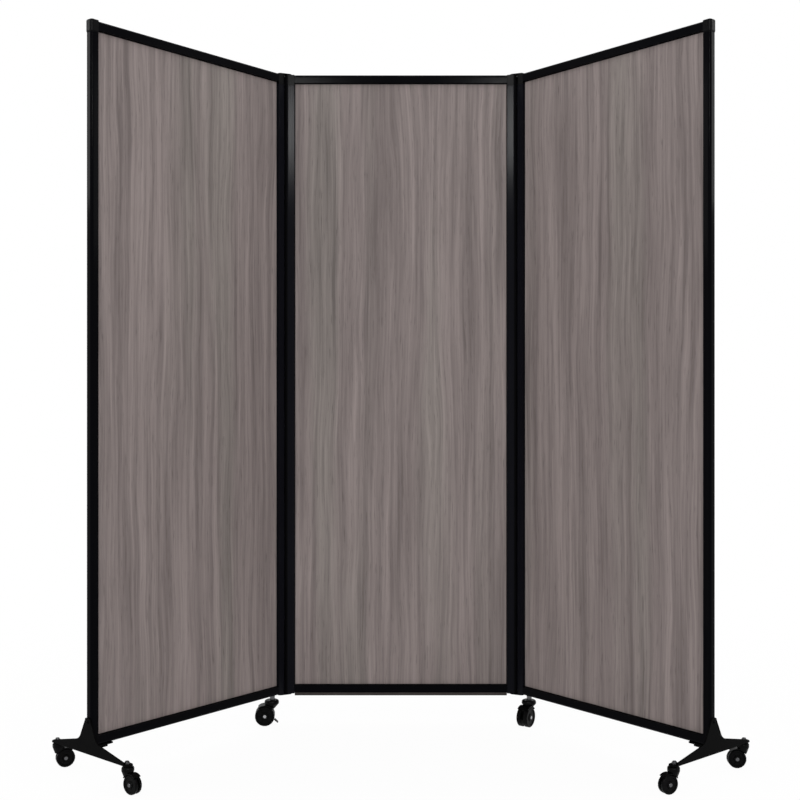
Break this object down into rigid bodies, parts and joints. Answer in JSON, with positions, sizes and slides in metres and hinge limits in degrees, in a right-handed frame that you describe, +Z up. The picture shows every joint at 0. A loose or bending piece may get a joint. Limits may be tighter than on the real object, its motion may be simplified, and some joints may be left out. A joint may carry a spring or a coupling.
{
  "type": "folding privacy screen on castors",
  "caption": "Folding privacy screen of grey wood-grain boards in black frames, with double-pivot hinges, plate legs and twin-wheel castors.",
  "frame": {"origin": "on the floor, at the middle of the bounding box at rest", "axes": "+Z up, +X to the right along the centre panel, -Y towards the viewer, where the wings fold at rest"},
  "size_m": [1.9244, 0.6954, 2.032],
  "materials": {
    "board": "satin grey wood-grain laminate",
    "frame": "gloss black powder coat",
    "cap_plastic": "matte moulded",
    "link_steel": "black coated steel",
    "leg_steel": "matte black powder coat",
    "steel": "zinc plated",
    "castor_plastic": "matte black nylon",
    "wheel": "black nylon"
  },
  "bodies": {
    "centre_panel": {"centre_board": "board", "centre_top_rail": "frame", "centre_bottom_rail": "frame", "centre_left_stile": "frame", "centre_left_stile_cap": "cap_plastic", "centre_right_stile": "frame", "centre_right_stile_cap": "cap_plastic"},
    "left_link_pair": {"left_hinge_top_link": "link_steel", "left_hinge_bottom_link": "link_steel"},
    "left_wing": {"left_board": "board", "left_top_rail": "frame", "left_bottom_rail": "frame", "left_hinge_stile": "frame", "left_hinge_stile_cap": "cap_plastic", "left_end_post": "frame", "left_end_cap": "cap_plastic", "left_leg": "leg_steel", "left_front_castor_stem": "steel", "left_rear_castor_stem": "steel", "left_hinge_castor_stem": "steel"},
    "left_front_castor": {"left_front_castor_hood": "castor_plastic", "left_front_castor_axle": "steel"},
    "left_front_castor_wheel_a": {"left_front_castor_wheel_a": "wheel"},
    "left_front_castor_wheel_b": {"left_front_castor_wheel_b": "wheel"},
    "left_rear_castor": {"left_rear_castor_hood": "castor_plastic", "left_rear_castor_axle": "steel"},
    "left_rear_castor_wheel_a": {"left_rear_castor_wheel_a": "wheel"},
    "left_rear_castor_wheel_b": {"left_rear_castor_wheel_b": "wheel"},
    "left_hinge_castor": {"left_hinge_castor_hood": "castor_plastic", "left_hinge_castor_axle": "steel"},
    "left_hinge_castor_wheel_a": {"left_hinge_castor_wheel_a": "wheel"},
    "left_hinge_castor_wheel_b": {"left_hinge_castor_wheel_b": "wheel"},
    "left_hinge_castor_brake_lever": {"left_hinge_castor_brake_lever": "castor_plastic"},
    "right_link_pair": {"right_hinge_top_link": "link_steel", "right_hinge_bottom_link": "link_steel"},
    "right_wing": {"right_board": "board", "right_top_rail": "frame", "right_bottom_rail": "frame", "right_hinge_stile": "frame", "right_hinge_stile_cap": "cap_plastic", "right_end_post": "frame", "right_end_cap": "cap_plastic", "right_leg": "leg_steel", "right_front_castor_stem": "steel", "right_rear_castor_stem": "steel", "right_hinge_castor_stem": "steel"},
    "right_front_castor": {"right_front_castor_hood": "castor_plastic", "right_front_castor_axle": "steel"},
    "right_front_castor_wheel_a": {"right_front_castor_wheel_a": "wheel"},
    "right_front_castor_wheel_b": {"right_front_castor_wheel_b": "wheel"},
    "right_rear_castor": {"right_rear_castor_hood": "castor_plastic", "right_rear_castor_axle": "steel"},
    "right_rear_castor_wheel_a": {"right_rear_castor_wheel_a": "wheel"},
    "right_rear_castor_wheel_b": {"right_rear_castor_wheel_b": "wheel"},
    "right_hinge_castor": {"right_hinge_castor_hood": "castor_plastic", "right_hinge_castor_axle": "steel"},
    "right_hinge_castor_wheel_a": {"right_hinge_castor_wheel_a": "wheel"},
    "right_hinge_castor_wheel_b": {"right_hinge_castor_wheel_b": "wheel"},
    "right_hinge_castor_brake_lever": {"right_hinge_castor_brake_lever": "castor_plastic"}
  },
  "joints": [
    {"name": "left_link_fold", "type": "hinge", "parent": "centre_panel", "child": "left_link_pair", "pos_m": [-0.35275, 0.33522, 1], "axis": [0, 0, 1], "range_deg": [-100, 50]},
    {"name": "left_wing_fold", "type": "hinge", "parent": "left_link_pair", "child": "left_wing", "pos_m": [-0.37677, 0.32403, 1], "axis": [0, 0, 1], "range_deg": [-100, 50]},
    {"name": "left_front_castor_swivel", "type": "hinge", "parent": "left_wing", "child": "left_front_castor", "pos_m": [-0.70757, -0.3129, 0.06], "axis": [0, 0, 1], "continuous": true},
    {"name": "left_front_castor_wheel_a_spin", "type": "hinge", "parent": "left_front_castor", "child": "left_front_castor_wheel_a", "pos_m": [-0.6887, -0.32266, 0.025], "axis": [0.5878, 0.809, 0], "continuous": true},
    {"name": "left_front_castor_wheel_b_spin", "type": "hinge", "parent": "left_front_castor", "child": "left_front_castor_wheel_b", "pos_m": [-0.69246, -0.32783, 0.025], "axis": [0.5878, 0.809, 0], "continuous": true},
    {"name": "left_rear_castor_swivel", "type": "hinge", "parent": "left_wing", "child": "left_rear_castor", "pos_m": [-0.94658, -0.11235, 0.06], "axis": [0, 0, 1], "continuous": true},
    {"name": "left_rear_castor_wheel_a_spin", "type": "hinge", "parent": "left_rear_castor", "child": "left_rear_castor_wheel_a", "pos_m": [-0.9291, -0.10027, 0.025], "axis": [-0.4384, 0.8988, 0], "continuous": true},
    {"name": "left_rear_castor_wheel_b_spin", "type": "hinge", "parent": "left_rear_castor", "child": "left_rear_castor_wheel_b", "pos_m": [-0.9263, -0.10602, 0.025], "axis": [-0.4384, 0.8988, 0], "continuous": true},
    {"name": "left_hinge_castor_swivel", "type": "hinge", "parent": "left_wing", "child": "left_hinge_castor", "pos_m": [-0.39926, 0.29721, 0.06], "axis": [0, 0, 1], "continuous": true},
    {"name": "left_hinge_castor_wheel_a_spin", "type": "hinge", "parent": "left_hinge_castor", "child": "left_hinge_castor_wheel_a", "pos_m": [-0.42185, 0.29042, 0.03], "axis": [0.0698, -0.9976, 0], "continuous": true},
    {"name": "left_hinge_castor_wheel_b_spin", "type": "hinge", "parent": "left_hinge_castor", "child": "left_hinge_castor_wheel_b", "pos_m": [-0.42257, 0.3008, 0.03], "axis": [0.0698, -0.9976, 0], "continuous": true},
    {"name": "left_hinge_castor_brake_lever_tilt", "type": "hinge", "parent": "left_hinge_castor", "child": "left_hinge_castor_brake_lever", "pos_m": [-0.40666, 0.2967, 0.04858], "axis": [0.0698, -0.9976, 0], "range_deg": [0, 18]},
    {"name": "right_link_fold", "type": "hinge", "parent": "centre_panel", "child": "right_link_pair", "pos_m": [0.35275, 0.33522, 1], "axis": [0, 0, 1], "range_deg": [-50, 100]},
    {"name": "right_wing_fold", "type": "hinge", "parent": "right_link_pair", "child": "right_wing", "pos_m": [0.37677, 0.32403, 1], "axis": [0, 0, 1], "range_deg": [-50, 100]},
    {"name": "right_front_castor_swivel", "type": "hinge", "parent": "right_wing", "child": "right_front_castor", "pos_m": [0.70757, -0.3129, 0.06], "axis": [0, 0, 1], "continuous": true},
    {"name": "right_front_castor_wheel_a_spin", "type": "hinge", "parent": "right_front_castor", "child": "right_front_castor_wheel_a", "pos_m": [0.68989, -0.32468, 0.025], "axis": [0.4226, -0.9063, 0], "continuous": true},
    {"name": "right_front_castor_wheel_b_spin", "type": "hinge", "parent": "right_front_castor", "child": "right_front_castor_wheel_b", "pos_m": [0.68718, -0.31888, 0.025], "axis": [0.4226, -0.9063, 0], "continuous": true},
    {"name": "right_rear_castor_swivel", "type": "hinge", "parent": "right_wing", "child": "right_rear_castor", "pos_m": [0.94658, -0.11235, 0.06], "axis": [0, 0, 1], "continuous": true},
    {"name": "right_rear_castor_wheel_a_spin", "type": "hinge", "parent": "right_rear_castor", "child": "right_rear_castor_wheel_a", "pos_m": [0.92552, -0.11519, 0.025], "axis": [-0.0175, -0.9998, 0], "continuous": true},
    {"name": "right_rear_castor_wheel_b_spin", "type": "hinge", "parent": "right_rear_castor", "child": "right_rear_castor_wheel_b", "pos_m": [0.92563, -0.10879, 0.025], "axis": [-0.0175, -0.9998, 0], "continuous": true},
    {"name": "right_hinge_castor_swivel", "type": "hinge", "parent": "right_wing", "child": "right_hinge_castor", "pos_m": [0.39926, 0.29721, 0.06], "axis": [0, 0, 1], "continuous": true},
    {"name": "right_hinge_castor_wheel_a_spin", "type": "hinge", "parent": "right_hinge_castor", "child": "right_hinge_castor_wheel_a", "pos_m": [0.3911, 0.27509, 0.03], "axis": [0.8387, -0.5446, 0], "continuous": true},
    {"name": "right_hinge_castor_wheel_b_spin", "type": "hinge", "parent": "right_hinge_castor", "child": "right_hinge_castor_wheel_b", "pos_m": [0.38238, 0.28076, 0.03], "axis": [0.8387, -0.5446, 0], "continuous": true},
    {"name": "right_hinge_castor_brake_lever_tilt", "type": "hinge", "parent": "right_hinge_castor", "child": "right_hinge_castor_brake_lever", "pos_m": [0.39523, 0.291, 0.04858], "axis": [0.8387, -0.5446, 0], "range_deg": [0, 18]}
  ],
  "couplings": [
    {"joint": "left_wing_fold", "follows": "left_link_fold", "ratio": 1},
    {"joint": "right_wing_fold", "follows": "right_link_fold", "ratio": 1}
  ]
}
